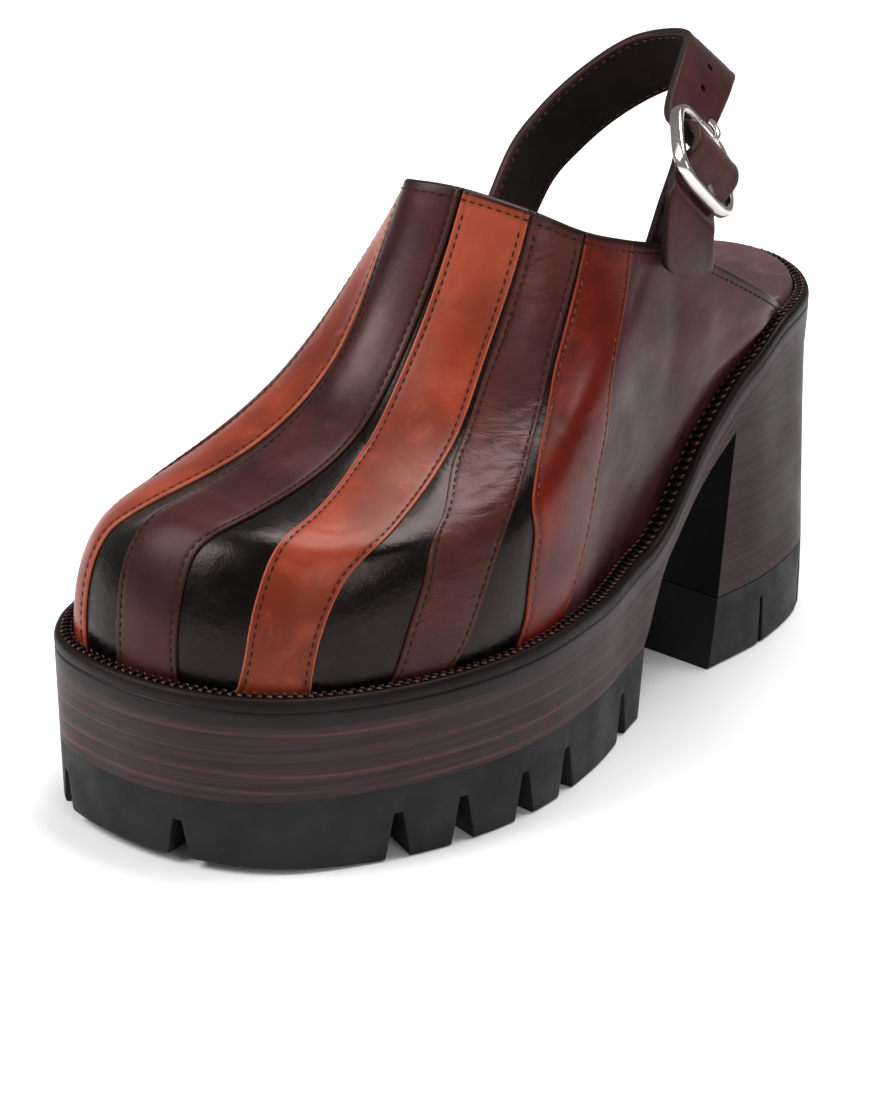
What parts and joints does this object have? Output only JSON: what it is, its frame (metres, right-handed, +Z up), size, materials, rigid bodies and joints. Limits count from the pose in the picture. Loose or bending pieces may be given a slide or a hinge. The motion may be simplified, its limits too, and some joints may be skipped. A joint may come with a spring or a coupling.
{
  "type": "platform clog",
  "caption": "Left slingback platform clog with striped leather upper, stacked platform and block heel, lugged rubber underneath and a buckled heel strap.",
  "frame": {"origin": "on the floor under the middle of the shoe's box", "axes": "+Z up, the toe points to -Y and the heel to +Y, and the outer side of the left foot is +X"},
  "size_m": [0.1102, 0.25, 0.1689],
  "materials": {
    "rubber": "matte moulded black rubber",
    "stack": "burnished dark brown stacked layers with fine level lines",
    "welt": "near black welt strip with close brown stitches",
    "insole": "smooth mauve brown leather",
    "upper_leather": "glossy smooth leather in tan, rust, brown and black stripes",
    "strap_leather": "brown leather with a near black lining",
    "nickel": "polished nickel"
  },
  "bodies": {
    "root": {"outsole": "rubber", "platform": "stack", "heel": "stack", "heel_lift": "rubber", "welt": "welt", "insole": "insole", "upper": "upper_leather", "strap": "strap_leather", "buckle_tab": "strap_leather", "buckle_frame": "nickel", "buckle_prong": "nickel"}
  },
  "joints": []
}
